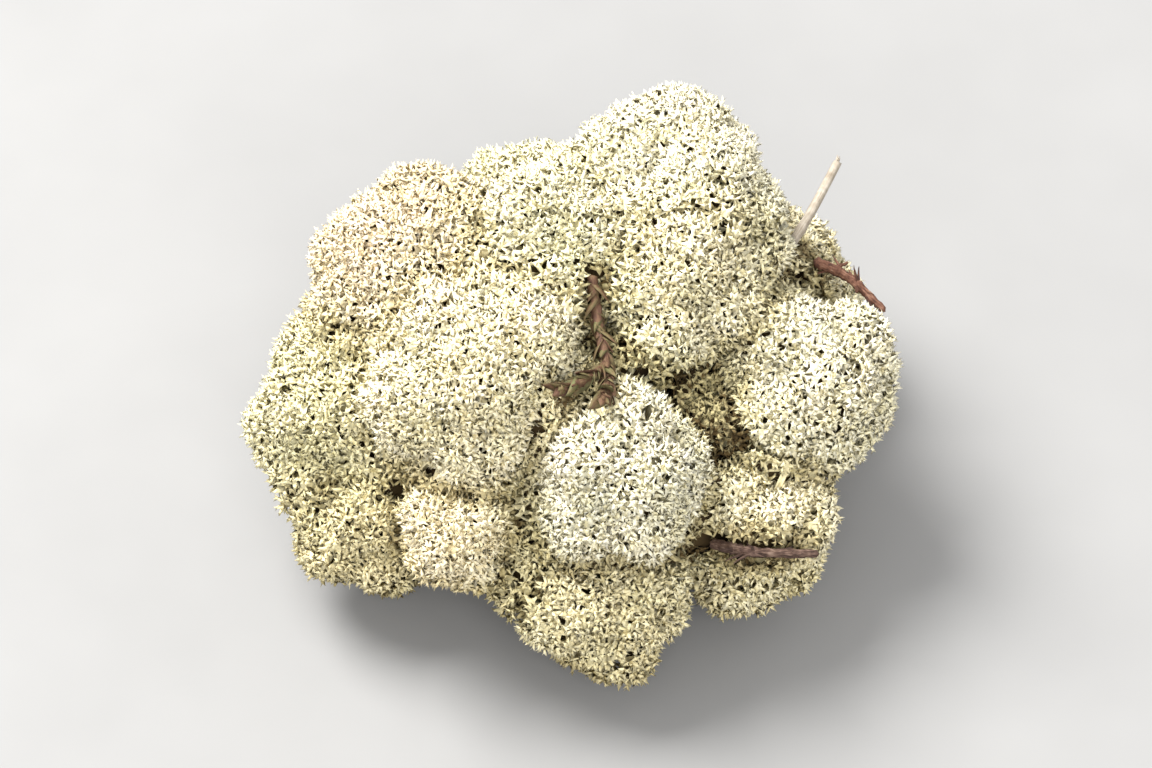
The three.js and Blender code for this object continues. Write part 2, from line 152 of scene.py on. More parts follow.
LIMB_AGES = (0.1, 0.85)
AGE_INWARD, AGE_DOWN = 0.45, 0.8  # how much older a limb is at its head's centre, and at the mat
OLDEST_WHORL = 0.72
GOLDEN_TURN = math.pi * (3 - math.sqrt(5))
AXIL_SHADE = 0.22  # painted shade: the hollow in a fork looks this much darker, times its depth
MOST_CORNERS = 100_000  # room for them in one mesh
CORE_DEPTH = 3.8  # how far the dark shell, which stands for a head's shaded depths, lies under its surface
CORE_DETAIL = 4
CORE_ROUGH = 1.1
# how dark the shell is: painted shade of the head's depths
CORE_SHADE = 1.05
CORE_AGE_RANGE = 0.2
UNDERSIDE = 0.5  # how much of the dark shell is left on the side of the stem
UNDERSIDE_FROM = (0.1, 0.8)  # cosines to the stem over which it draws in
LAYER = 0.9  # how unevenly deep the whorls stand
TINT_REACH = 2.2  # over which the tint of one head runs into the next

# ----- The mat of dead branches -----

HUMUS_SHARE = 0.9  # size of the humus in the mat's middle, as a share of the mat
HUMUS_ROUGH = 0.28
CRUMB = 0.05
HUMUS_BOTTOM = 0.5  # the clump lies on dead branches that reach below it
CRUMBS = ((1.2, 9), (0.8, 17), (0.6, 31))  # the size and pitch of coarse, middling and fine ones
DEAD_BRANCHES = 150
DEAD_COVER = math.radians(150)
DEAD_LENGTH = (2.6, 4.6)
DEAD_RADIUS = (0.34, 0.6)
DEAD_STEPS = 4
DEAD_BEND = 0.35
DEAD_SPREAD = np.array([0.75, 0.75, 0.45])
DEAD_SHORTER, DEAD_THINNER = 0.72, 0.8  # from a branch to those that it forks into
DEAD_AGES = (0.2, 0.9)
MAT_EDGE = np.array([18.2, 16.9])

# ----- Litter, as in the CAD -----

SPRIG = ([(1.6, 1.8, 33.6), (2.4, -3.6, 31.4), (3.2, -9.4, 31.6), (2.8, -14.2, 34.2)], (0.6, 0.45))
SIDE_SHOOT = ([(3, -7.8, 31.35), (1.2, -10.6, 32.8), (-1.2, -12.6, 33.6)], (0.5, 0.4))
STRAW = ([(20.4, 9.8, 24.6), (24.2, 17, 24.8), (27.4, 24.6, 24.4)], (0.6, 0.5))
BENT_TWIG = ([(25, 13, 22.3), (28.5, 12, 20.8), (32, 9, 19.3)], (0.65, 0.45))
LOW_TWIG = ([(14, -18.5, 15.5), (18, -20.8, 17.2), (24.5, -20, 15.8)], (0.65, 0.45))
LEAVES = 11
SIDE_LEAVES = 5
LEAF_TURN = 2.2
LEAF_LENGTH = 3.3
LEAF_WIDTH = 1.6
LEAVES_BETWEEN = 4
LEAF_FOOT = -0.4  # from the twig's middle, where a leaf starts
LEAF_ROWS = 9
LEAF_THICKNESS = 0.13  # half of it, at the midrib
LEAF_CURL = (0.1, 0.35)
LEAF_FOLD = (0.25, 0.5)
SMALL_LEAF = ((0.45, 0.75), (0.6, 0.9))  # its length and width as shares of a main one's
NEEDLE_LENGTH = (1.8, 3.0)
NEEDLE_WIDTH = 0.5
TWIG_RINGS = 44
KNOT_SWELL, KNOT_LENGTH = 0.22, 0.02  # as shares of the twig's radius and length
BARK_ROUGH, STRAW_RIDGE = 0.07, 0.06
FRAYS = 5
FRAY_LENGTH = (0.8, 1.4)
FRAY_RADII = np.array([0.16, 0.14, 0.1, 0.04])
SPUR_RADII = np.linspace(0.3, 0.16, 5)
# Each piece of litter, how far whorls stay off its middle, and how far out its painted shadow on them reaches
LITTER = [
    (SPRIG, 1.15, 2.4),
    (SIDE_SHOOT, 1.15, 2.4),
    (STRAW, 1.15, 2.2),
    (BENT_TWIG, 1.2, 4.2),
    (LOW_TWIG, 1.3, 4.2),
]
LITTER_STEPS = 30
LITTER_SHADOW_HEIGHTS = (-3, 0.5)  # heights of the litter over a whorl at which its painted shadow starts and becomes full
# painted shadow that litter casts on the whorls under it, and the older branches it lies on
LITTER_SHADOW_AND_AGE = 0.55


def random_from(seed):
    """The CAD's seeded generator (mulberry32), so that the lobes agree."""
    mask = 0xFFFFFFFF
    state = [seed & mask]

    def draw():
        state[0] = (state[0] + 0x6D2B79F5) & mask
        t = state[0]
        t = ((t ^ (t >> 15)) * (t | 1)) & mask
        t ^= (t + (((t ^ (t >> 7)) * (t | 61)) & mask)) & mask
        return ((t ^ (t >> 14)) & mask) / 4294967296

    return draw


def unit(v):
    return v / np.maximum(np.linalg.norm(v, axis=-1, keepdims=True), 1e-9)


def sideways(d):
    """Two unit vectors square to each direction in d."""
    helper = np.where(np.abs(d[..., 2:3]) > 0.9, [1.0, 0.0, 0.0], [0.0, 0.0, 1.0])
    u = unit(np.cross(helper, d))
    return u, np.cross(d, u)


def around(angles, u, v):
    """Directions at angles round an axis that u and v are square to."""
    return np.cos(angles)[..., None] * u + np.sin(angles)[..., None] * v


def angles_round(points, centre, u, v):
    return np.arctan2((points - centre) @ v, (points - centre) @ u)


def varied(rng, size, spread, count):
    """Sizes that differ by up to a share of the middle one."""
    return size * rng.uniform(1 - spread, 1 + spread, count)


def cap_directions(axis, cover, count, twist):
    """Directions spread evenly over a cap around an axis."""
    i = np.arange(count)
    along = 1 - (1 - math.cos(cover)) * (i + 0.5) / count
    out = np.sqrt(1 - along**2)
    turn = i * GOLDEN_TURN + twist
    u, v = sideways(axis)
    return along[:, None] * axis + (out * np.cos(turn))[:, None] * u + (out * np.sin(turn))[:, None] * v


LOBULE_RNG = np.random.default_rng(LOBULE_SEED)
LOBULE_STEPS = unit(LOBULE_RNG.normal(size=(LOBULE_WAVES, 3))) * TURN / LOBULE_WAVE
LOBULE_PHASES = LOBULE_RNG.uniform(0, TURN, LOBULE_WAVES)


def lobules(points):
    """How high the smallest lobes stand at points, from 0 in the furrows between them to 1."""
    waves = np.sin(points @ LOBULE_STEPS.T + LOBULE_PHASES).sum(axis=1)
    return 1 - np.exp(-np.abs(waves) / math.sqrt(LOBULE_WAVES / 2))


class Head:
    """Where one head's dome and its neighbours' pressing sides are."""

    def __init__(self, index, name):
        centre, radius, self.tint, self.age_and_shade, self.openness = HEADS[name]
        self.name = name
        self.crisp = name in CRISP
        self.centre = np.array(centre, float)
        self.radius = radius
        self.axis = unit(self.centre - ROOT)
        draw = random_from(SEED + index)
        twist, far, wide = np.array([[draw() - 0.5 for _ in range(3)] for _ in range(LOBES)]).T
        directions = cap_directions(self.axis, LOBE_COVER, LOBES, LOBE_TWIST * twist)
        self.lobes = directions * (radius * (LOBE_REACH + LOBE_JITTER * far))[:, None]
        self.lobe_radius = radius * (LOBE_RADIUS + LOBE_JITTER * wide)
        self.rng = np.random.default_rng(SEED + index)

    def meet(self, heads):
        """Finds the planes that part the head from its neighbours."""
        self.others = [h for h in heads if h is not self]
        between = np.array([h.centre - self.centre for h in self.others])
        distance = np.linalg.norm(between, axis=1)
        sizes = np.array([h.radius for h in self.others])
        self.normals = between / distance[:, None]
        self.limits = (distance**2 + self.radius**2 - sizes**2) / (2 * distance) - NEIGHBOUR_GAP

    def standoff(self, points):
        """How far points stand off the lobed dome: less than 0 inside it."""
        offsets = points - self.centre
        small = LOBULE_HEIGHT * (lobules(points) - 0.5)
        return np.linalg.norm(offsets, axis=1) - self.lobed_reach(unit(offsets)) - small

    def nearest(self, points):
        """How far points stand off the nearest neighbour, and whether the furrow to it is crisp."""
        offs = np.array([h.standoff(points) for h in self.others])
        crisp = np.array([h.crisp for h in self.others])[offs.argmin(axis=0)] | self.crisp
        return offs.min(axis=0), crisp

    def merged_standoff(self, points):
        """How far points stand off the dome where it runs together with its neighbours."""
        own = self.standoff(points)
        following, crisp = self.nearest(points)
        merge = np.where(crisp, CRISP_MERGE, MERGE)
        near = np.maximum(0, 1 - np.abs(own - following) / merge)
        return np.minimum(own, following) - merge / 4 * near**2

    def painted_furrow_shade(self, points):
        """How much painted shade darkens branches in the furrow between two heads."""
        following, crisp = self.nearest(points)
        near = np.maximum(0, 1 - np.abs(self.standoff(points) - following) / FURROW_WIDTH)
        return np.where(crisp, PAINTED_FURROW_SHADE[1], PAINTED_FURROW_SHADE[0]) * near**2

    def reach(self, directions):
        """How far the merged dome lies from the head's centre."""
        reach = self.lobed_reach(directions)
        for _ in range(MERGE_STEPS):
            reach = reach - self.merged_standoff(self.centre + directions * reach[:, None])
        return reach

    def facing(self, points):
        """Which way the merged dome faces at points."""
        steps = SLOPE_STEP * np.eye(3)
        slopes = [self.merged_standoff(points + step) - self.merged_standoff(points - step) for step in steps]
        return unit(np.stack(slopes, axis=1))

    def lobed_reach(self, directions):
        """How far the lobed dome lies from the head's centre."""
        along = directions @ self.lobes.T
        square = self.lobe_radius**2 - (np.sum(self.lobes**2, axis=1) - along**2)
        hits = np.where(square > 0, along + np.sqrt(np.maximum(square, 0)), 0)
        return np.maximum(hits.max(axis=1), self.radius * HEART)

    def share_inside(self, offsets):
        """The share of each offset from the centre that stays clear of the neighbours."""
        along = offsets @ self.normals.T
        share = np.where(along > self.limits, self.limits / np.maximum(along, 1e-6), 1)
        return np.clip(share.min(axis=1), 0, 1)


# ----- Branching meshes -----


class Growth:
    """Collects the corners, faces and ages (0 at the tips to 1 at the foot) of one mesh; on the lichen the
    ages also carry painted shade.
    The grain of a corner is its place in its piece's own pattern, such as along and round a twig."""

    def __init__(self):
        self.points = np.empty((MOST_CORNERS, 3))
        self.grains = np.empty((MOST_CORNERS, 3))
        self.ages_and_shades = np.empty(MOST_CORNERS)
        self.faces = []
        self.count = 0

    def add(self, points, ages_and_shades, grain=None):
        points = np.reshape(points, (-1, 3))
        corners = self.count + np.arange(len(points))
        self.points[corners] = points
        self.ages_and_shades[corners] = ages_and_shades
        self.grains[corners] = points if grain is None else np.reshape(grain, (-1, 3))
        self.count += len(points)
        return corners

    def join(self, faces):
        self.faces.append(np.reshape(faces, (-1, 3)))

    def middle(self, loops):
        return self.points[loops].mean(axis=-2)

    def arrays(self):
        made = slice(self.count)
        return self.points[made], self.ages_and_shades[made], self.grains[made], np.concatenate(self.faces)


def strip(base, ring, base_angles, ring_angles):
    """Triangles between two loops that run the same way round, matched by angle."""
    rise = np.unwrap(np.mod(base_angles - base_angles[0], TURN))
    off = np.mod(ring_angles - base_angles[0] + math.pi, TURN) - math.pi
    start = int(np.argmin(np.abs(off)))
    ring = np.roll(ring, -start)
    off = np.roll(off, -start)
    climb = off[0] + np.mod(off - off[0], TURN)
    rise = [*rise, TURN, math.inf]
    climb = [*climb, climb[0] + TURN, math.inf]
    b, r, faces = 0, 0, []
    while b < len(base) or r < len(ring):
        here_b, here_r = base[b % len(base)], ring[r % len(ring)]
        if rise[b + 1] <= climb[r + 1]:
            b += 1
            faces.append((here_b, base[b % len(base)], here_r))
        else:
            r += 1
            faces.append((here_b, ring[r % len(ring)], here_r))
    return faces


def add_ring(growth, base, centre, direction, radius, angles, age_and_shade):
    """Carries a limb on from one loop of corners to a ring, which it returns."""
    u, v = sideways(direction)
    ring = growth.add(centre + radius * around(angles, u, v), age_and_shade)
    base_angles = angles_round(growth.points[base], growth.middle(base), u, v)
    growth.join(strip(base, ring, base_angles, angles))
    return ring


EVEN = {k: np.arange(k) * TURN / k for k in (3, 4, 5)}  # angles spread evenly
STRIPS = {k: np.array(strip(np.arange(3), 3 + np.arange(k), EVEN[3], EVEN[k])) for k in EVEN}


def add_forks(growth, base, centre, direction, radius, count, shade, hollow, rng):
    """Many limb ends at once, each opening into `count` limbs round an axil.
    Returns the loop of corners and the sideways direction of each new limb, one row a limb."""
    older, depth = hollow
    age_and_shade = shade + older
    u, v = sideways(direction)
    lead = growth.points[base[:, 0]] - growth.middle(base)
    phase = np.arctan2(np.sum(lead * v, axis=1), np.sum(lead * u, axis=1))
    angles = phase[:, None] + EVEN[count] + rng.uniform(-FORK_JITTER, FORK_JITTER, (len(base), count))
    out = around(angles, u[:, None], v[:, None])
    ring = growth.add(centre[:, None] + radius[:, None, None] * out, np.repeat(age_and_shade, count)).reshape(-1, count)
    axil = growth.add(centre - direction * (radius * depth)[:, None], age_and_shade + AXIL_SHADE * depth)
    growth.join(np.concatenate([base, ring], axis=1)[:, STRIPS[count]])
    loops, outs = [], []
    for k in range(count):
        sides = [k, (k + 1) % count]
        loops.append(np.column_stack([ring[:, sides], axil]))
        outs.append(unit(out[:, sides].sum(axis=1)))
    return np.concatenate(loops), np.concatenate(outs)


def tilted(direction, out, tilt):
    return unit(direction * np.cos(tilt)[:, None] + out * np.sin(tilt)[:, None])


def add_whorls(growth, base, centre, direction, shade, rng):
    """Rosettes of short branchlets, each ending in small sharp tips."""
    kinds = rng.choice(list(WHORL_KINDS), len(base), p=list(WHORL_KINDS.values()))
    for kind in WHORL_KINDS:
        pick = kinds == kind
        if not pick.any():
            continue
        radius = rng.uniform(*AXIL_SPREAD, pick.sum()) * AXIL_HOLE * (1 + AXIL_WIDER * (kind - 3))
        parts = [part[pick] for part in (base, centre, direction)]
        loops, outs = add_forks(growth, *parts, radius, kind, shade[pick], WHORL_AXIL, rng)
        many = len(loops)
        lean = tilted(np.tile(direction[pick], (kind, 1)), outs, varied(rng, *BRANCHLET_TILT, many))
        lean = unit(lean + BRANCHLET_SWAY * rng.normal(size=(many, 3)))
        length = rng.uniform(*BRANCHLET, many)
        forked = rng.random(many) < FORKED_SHARE
        length *= np.where(forked, 1, SINGLE_TIP)
        ends = growth.middle(loops) + lean * length[:, None]
        thick = varied(rng, *TWIG_END, many)
        old = np.tile(shade[pick], kind)
        add_tips(growth, *(part[forked] for part in (loops, ends, lean, thick, old)), rng)
        close_tips(growth, loops[~forked], ends[~forked], old[~forked])


def add_tips(growth, base, centre, direction, radius, shade, rng):
    """The sharp tips of each branchlet."""
    loops, outs = add_forks(growth, base, centre, direction, radius, TIPS, shade, TIP_AXIL, rng)
    many = len(loops)
    lean = tilted(np.tile(direction, (TIPS, 1)), outs, varied(rng, *TIP_TILT, many))
    length = rng.uniform(*TIP_LENGTH, many)
    length[rng.random(many) < SHORT_TIPS[0]] *= SHORT_TIPS[1]
    close_tips(growth, loops, growth.middle(loops) + lean * length[:, None], np.tile(shade, TIPS))


def close_tips(growth, loops, ends, shade):
    """Brings loops of three corners to a point."""
    apex = growth.add(ends, shade)
    for a, b in ((0, 1), (1, 2), (2, 0)):
        growth.join(np.stack([loops[:, a], loops[:, b], apex], axis=1))


def through(points, count):
    """Points along a smooth curve through a few points."""
    p = np.array(points, float)
    p = np.vstack([2 * p[0] - p[1], p, 2 * p[-1] - p[-2]])
    t = np.linspace(0, len(points) - 1, count)
    i = np.minimum(t.astype(int), len(points) - 2)
    f = (t - i)[:, None]
    a, b, c, d = p[i], p[i + 1], p[i + 2], p[i + 3]
    return 0.5 * (2 * b + (c - a) * f + (2 * a - 5 * b + 4 * c - d) * f**2 + (3 * b - a - 3 * c + d) * f**3)


def frames_along(path):
    """The direction of a path at each of its points, and two directions square to it that don't twist."""
    tangents = unit(np.gradient(path, axis=0))
    u = sideways(tangents[0])[0]
    us = []
    for tangent in tangents:
        u = unit(u - tangent * (u @ tangent))
        us.append(u)
    us = np.array(us)
    return tangents, us, np.cross(tangents, us)


def add_tube(growth, path, radii, sides, age_and_shade, relief=1.0):
    """A closed limb along a path. The relief is a factor on its radius at each ring and side."""
    tangents, u, v = frames_along(path)
    turn = np.arange(sides) * TURN / sides
    reach = (radii[:, None] * relief)[..., None]
    points = path[:, None] + reach * around(turn, u[:, None], v[:, None])
    along = np.cumsum(np.linalg.norm(np.diff(path, axis=0, prepend=path[:1]), axis=1))
    grain = np.tile(around(turn, *np.eye(3)[:2]), (len(path), 1, 1)) + along[:, None, None] * [0, 0, 1]
    ages_and_shades = np.repeat(np.broadcast_to(age_and_shade, len(path)), sides)
    ring = growth.add(points, ages_and_shades, grain).reshape(-1, sides)
    foot = path[0] - tangents[0] * radii[0] * FOOT_CAP
    tip = path[-1] + tangents[-1] * radii[-1] * TIP_CAP
    after = np.roll(ring, -1, axis=1)
    join_rows(growth, ring[:-1], after[:-1], ring[1:], after[1:])
    add_cap(growth, ring[0][::-1], foot, ages_and_shades[0], (0, 0, along[0]))
    add_cap(growth, ring[-1], tip, ages_and_shades[-1], (0, 0, along[-1]))


def join_rows(growth, near, near_next, far, far_next):
    """Two triangles in each gap between near, near_next, far_next and far."""
    growth.join(np.stack([near, near_next, far_next], axis=-1))
    growth.join(np.stack([near, far_next, far], axis=-1))


def add_cap(growth, ring, place, age_and_shade, grain=None):
    """Closes a loop of corners with a fan of triangles round one more corner."""
    apex = growth.add(place, age_and_shade, grain)[0]
    growth.join([(apex, ring[i - 1], ring[i]) for i in range(len(ring))])


def ball(subdivisions):
    """Directions spread evenly over a ball, and the triangles between them."""
    mesh = bmesh.new()
    bmesh.ops.create_icosphere(mesh, subdivisions=subdivisions, radius=1)
    directions = np.array([corner.co[:] for corner in mesh.verts])
    faces = np.array([[corner.index for corner in face.verts] for face in mesh.faces])
    mesh.free()
    return unit(directions), faces


def smoothstep(x, low, high):
    t = np.clip((x - low) / (high - low), 0, 1)
    return t * t * (3 - 2 * t)


# ----- One podetium -----


def litter_over(places):
    """Which places are clear of the litter, and how much painted shadow the litter over each casts on it,
    from 0 to 1.
    """
    clear = np.full(len(places), True)
    litter_shadow = np.zeros(len(places))
    for (points, _), room, reach in LITTER:
        curve = through(points, LITTER_STEPS)
        off = np.linalg.norm(places[:, None] - curve, axis=2)
        above = curve[off.argmin(axis=1), 2] - places[:, 2]
        off = off.min(axis=1)
        clear &= off > room
        litter_shadow = np.maximum(litter_shadow, (1 - smoothstep(off, room, reach)) * smoothstep(above, *LITTER_SHADOW_HEIGHTS))
    return clear, litter_shadow


def whorl_places(head):
    """Where the whorls of a head stand, and which way they face."""
    rng = head.rng
    area = TURN * head.radius**2 * (1 - math.cos(WHORL_COVER))
    spacing = WHORL_SPACING * head.openness
    count = int(area / (WHORL_ROOM * spacing**2))
    d = cap_directions(head.axis, WHORL_COVER, count, 0)
    d = unit(d + rng.normal(size=d.shape) * SPACING_JITTER * spacing / head.radius)
    reach = head.reach(d) - WHORL_HEIGHT - LAYER * rng.random(count) ** 2
    share = head.share_inside(d * (reach + WHORL_HEIGHT)[:, None])
    places = head.centre + d * (reach * share)[:, None]
    depth = np.where(share < 1, -head.merged_standoff(places), 0)
    facing = head.facing(places)
    bare = BARE_BELOW * smoothstep(-facing[:, 2], *SPARSE_BELOW)
    keep = rng.random(count) > (1 - SPARSE) * np.maximum(smoothstep(depth, *PRESSED_DEPTHS), bare)
    clear, litter_shadow = litter_over(places)
    keep &= clear & (places[:, 2] > LOWEST_WHORL)
    facing = unit(facing + WHORL_LEAN * rng.normal(size=d.shape))
    # Painted shade, added to the whorls' age: down crevices, under the head, under litter, along furrows and
    # between the smallest lobes, and the head's own share where it lies low or in a crevice; the random share
    # is the whorls' own tone
    below = smoothstep(-d[:, 2], *SHADED_BELOW)
    shade = head.age_and_shade + CREVICE_SHADE_AND_AGE * depth + PAINTED_SHADE_BELOW * below + WHORL_SHADES * rng.random(count) ** 2
    shade += LITTER_SHADOW_AND_AGE * litter_shadow + head.painted_furrow_shade(places)
    shade += PAINTED_SHADE_IN_SMALL_FURROWS * (1 - lobules(places)) ** 3
    return places[keep], facing[keep], np.minimum(shade, OLDEST_WHORL)[keep]


def clusters(points, rng):
    """Splits points into three to five groups of near neighbours."""
    if len(points) <= FEW_WHORLS:
        return [np.array([i]) for i in range(len(points))]
    k = rng.choice(list(FORKS), p=list(FORKS.values()))
    centres = points[rng.choice(len(points), 1)]
    while len(centres) < k:
        off = np.sum((points[:, None] - centres) ** 2, axis=2).min(axis=1)
        centres = np.vstack([centres, points[rng.choice(len(points), p=off / off.sum())]])
    for _ in range(SORTING_ROUNDS):
        near = np.sum((points[:, None] - centres) ** 2, axis=2).argmin(axis=1)
        groups = [np.flatnonzero(near == i) for i in range(k)]
        centres = np.array([points[g].mean(axis=0) if len(g) else old for g, old in zip(groups, centres)])
    return [g for g in groups if len(g)]


def limb_radius(whorls):
    return THINNEST * whorls**THICKENING


def fork_point(head, points):
    """Where the limb that carries these whorls forks: under their middle, as deep as they are wide."""
    middle = points.mean(axis=0)
    spread = math.sqrt(np.mean(np.sum((points - middle) ** 2, axis=1)))
    inward = middle - head.centre
    far = np.linalg.norm(inward)
    d = inward / max(far, 1e-6)
    return head.centre + d * max(far - FORK_DEPTH * spread, -DEEPEST_FORK * head.radius)


def age_at(head, place):
    """How old a branch looks, from the dome down to the mat."""
    inward = 1 - np.linalg.norm(place - head.centre) / head.radius
    down = (head.centre[2] - place[2]) / (head.centre[2] - MAT_HEIGHT)
    return np.clip(LIMB_AGES[0] + AGE_INWARD * max(inward, 0) + AGE_DOWN * max(down, 0), *LIMB_AGES)


def grow_limb(growth, head, base, whorls, leaves):
    """Adds the limb that carries these whorls and everything on it, down to one whorl a limb."""
    rng = head.rng
    here = growth.middle(base)
    points = whorls[0]
    if len(points) == 1:
        leaves.append((base, *(part[0] for part in whorls)))
        return
    place = fork_point(head, points)
    place = place + rng.normal(size=3) * LIMB_SWAY * np.linalg.norm(place - here)
    groups = clusters(points, rng)
    middles = np.array([points[g].mean(axis=0) for g in groups])
    ahead = unit(unit(place - here) + unit(middles.mean(axis=0) - place))
    radius = limb_radius(len(points))
    base = add_knee(growth, head, base, place, radius)
    angles = angles_round(middles, place, *sideways(ahead))
    order = np.argsort(angles)
    blanks = 1 + np.arange(max(0, 3 - len(groups)))
    angles = spaced(np.concatenate([angles[order], angles[order[-1]] + BLANK_TURN * blanks]))
    edges = angles - (angles - np.roll(angles, 1)) % TURN / 2
    # painted shade in the hollow of the fork
    older, depth = LIMB_AXIL
    age_and_shade = age_at(head, place)
    ring = add_ring(growth, base, place, ahead, radius, edges, age_and_shade)
    axil = growth.add(place - ahead * radius * depth, age_and_shade + older)[0]
    for i in range(len(angles)):
        loop = np.array([ring[i], ring[(i + 1) % len(angles)], axil])
        if i < len(groups):
            grow_limb(growth, head, loop, [part[groups[order[i]]] for part in whorls], leaves)
        else:
            growth.join(loop)


def spaced(angles):
    """Angles in rising order, eased apart where two limbs would leave side by side."""
    even = angles[0] + np.arange(len(angles)) * TURN / len(angles)
    rising = angles[0] + (angles - angles[0]) % TURN
    return (even + rising) / 2


def add_knee(growth, head, base, place, radius):
    """A bend half way along a long limb."""
    here = growth.middle(base)
    length = np.linalg.norm(place - here)
    if length < KNEE_FROM:
        return base
    middle = (here + place) / 2 + head.rng.normal(size=3) * KNEE_SWAY * length
    angles = EVEN[4] + head.rng.random()
    age_and_shade = age_at(head, middle)
    return add_ring(growth, base, middle, unit(place - here), radius * KNEE_RADIUS, angles, age_and_shade)


def stem_path(head, turn):
    """Points up one of the stems that twine where the CAD's is, up to its first fork."""
    x, y, z = head.centre
    inside = 1 - (x * STEM_FOOT / MAT_RADIUS[0]) ** 2 - (y * STEM_FOOT / MAT_RADIUS[1]) ** 2
    foot_z = MAT_HEIGHT + MAT_RADIUS[2] * math.sqrt(max(0, inside)) - STEM_SUNK
    foot = np.array([x * STEM_FOOT, y * STEM_FOOT, foot_z])
    bend = np.array([x * STEM_BEND, y * STEM_BEND, (foot_z + z) / 2])
    bend = bend * (1 + STEM_BOW) - STEM_BOW * head.centre
    t = np.linspace(0, 1, STEM_STEPS)[:, None]
    curve = (1 - t) ** 2 * foot + 2 * t * (1 - t) * bend + t**2 * head.centre
    coil = around((turn + COIL_TURN * t)[:, 0], *sideways(head.axis))
    return (curve + COIL * np.sin(t * math.pi) * coil)[:int(STEM_STEPS * STEM_TOP)]


def grow_trunk(growth, head, turn, whorls, leaves):
    """One stem and the share of the head's whorls that it carries."""
    path = stem_path(head, turn)
    radius = limb_radius(len(whorls[0])) * np.linspace(STEM_TAPER, 1, len(path))
    angles = np.arange(STEM_SIDES) * TURN / STEM_SIDES
    direction = unit(path[1] - path[0])
    ring = growth.add(path[0] + radius[0] * around(angles, *sideways(direction)), 1)
    add_cap(growth, ring[::-1], path[0] - direction * radius[0] * FOOT_CAP, 1)
    for i in range(1, len(path)):
        direction = unit(path[i] - path[i - 1])
        size = radius[i] * (1 + STEM_ROUGH * head.rng.normal(size=(STEM_SIDES, 1)))
        ring = add_ring(growth, ring, path[i], direction, size, angles, age_at(head, path[i]))
    grow_limb(growth, head, ring, whorls, leaves)


def add_shadow_core(growth, head):
    """A dark shell under the whorls, painted shade for the head's shadowed depths, drawn in on the side of
    the stem.
    """
    d, faces = ball(CORE_DETAIL)
    below = smoothstep(-(d @ head.axis), *UNDERSIDE_FROM)
    rough = CORE_ROUGH * head.rng.random(len(d))
    reach = (head.reach(d) - CORE_DEPTH) * (1 - below * (1 - UNDERSIDE)) - rough
    share = head.share_inside(d * (reach + rough)[:, None])
    corners = growth.add(head.centre + d * (reach * share)[:, None], CORE_SHADE - CORE_AGE_RANGE * rough)
    growth.join(corners[faces])


def make_head(head):
    growth = Growth()
    whorls = whorl_places(head)
    add_shadow_core(growth, head)
    leaves = []
    angles = angles_round(whorls[0], head.centre, *sideways(head.axis))
    sector = ((angles + math.pi) / TURN * STEMS).astype(int) % STEMS
    for s in range(STEMS):
        turn = (s + 0.5) * TURN / STEMS - math.pi
        grow_trunk(growth, head, turn, [part[sector == s] for part in whorls], leaves)
    add_whorls(growth, *(np.array(column) for column in zip(*leaves)), head.rng)
    return growth


# ----- The mat -----


def mat_surface(d):
    """The CAD's lumpy cushion in directions d from its middle."""
    lump = 1 + 0.09 * np.sin(5 * d[:, 0] + 2) * np.cos(6 * d[:, 1]) + 0.05 * np.sin(9 * d[:, 2] + 7 * d[:, 0])
    return MAT_MIDDLE + d * MAT_RADIUS * lump[:, None]


def make_humus():
    """Crumbly humus that fills the mat's middle."""
    growth = Growth()
    rng = np.random.default_rng(MAT_SEED)
    d, faces = ball(6)
    crumb = sum(
        size * np.prod(np.sin(d @ rng.normal(size=(3, 3)) * pitch + 6 * rng.random(3)), axis=1)
        for size, pitch in CRUMBS)
    points = MAT_MIDDLE + (mat_surface(d) - MAT_MIDDLE) * (HUMUS_SHARE + CRUMB * crumb[:, None])
    points += d * HUMUS_ROUGH * (rng.random(len(d))[:, None] - 0.7)
    points[:, 2] = np.maximum(points[:, 2], HUMUS_BOTTOM + 0.5 * np.abs(crumb))
    corners = growth.add(points, np.clip(0.5 - 0.4 * crumb, 0, 1))
    growth.join(corners[faces])
    return growth


def kept_in_mat(path, radius):
    """Keeps a dead branch above the ground and within the mat's edge."""
    share = np.linalg.norm(path[:, :2] / MAT_EDGE, axis=1)
    path[:, :2] /= np.maximum(share, 1)[:, None]
    path[:, 2] = np.maximum(path[:, 2], 1.2 * radius)
    return path


def add_dead_branch(growth, start, direction, length, radius, forks, rng):
    """A bent dead branch, with thinner ones where it forks."""
    bends = direction + DEAD_BEND * rng.normal(size=(DEAD_STEPS, 3)).cumsum(axis=0)
    path = start + np.vstack([np.zeros(3), (unit(bends) * length / DEAD_STEPS).cumsum(axis=0)])
    path = kept_in_mat(path, radius)
    radii = radius * np.linspace(1, DEAD_THINNER, len(path)) * varied(rng, 1, 0.1, len(path))
    add_tube(growth, path, radii, 5 if forks > 1 else 4, rng.uniform(*DEAD_AGES))
    if not forks:
        return
    ahead = unit(path[-1] - path[-2])
    end = path[-1] - ahead * radius * 0.3
    for _ in range(rng.choice([2, 3])):
        lean = unit(ahead + DEAD_SPREAD * rng.normal(size=3))
        add_dead_branch(growth, end, lean, length * DEAD_SHORTER, radius * DEAD_THINNER, forks - 1, rng)


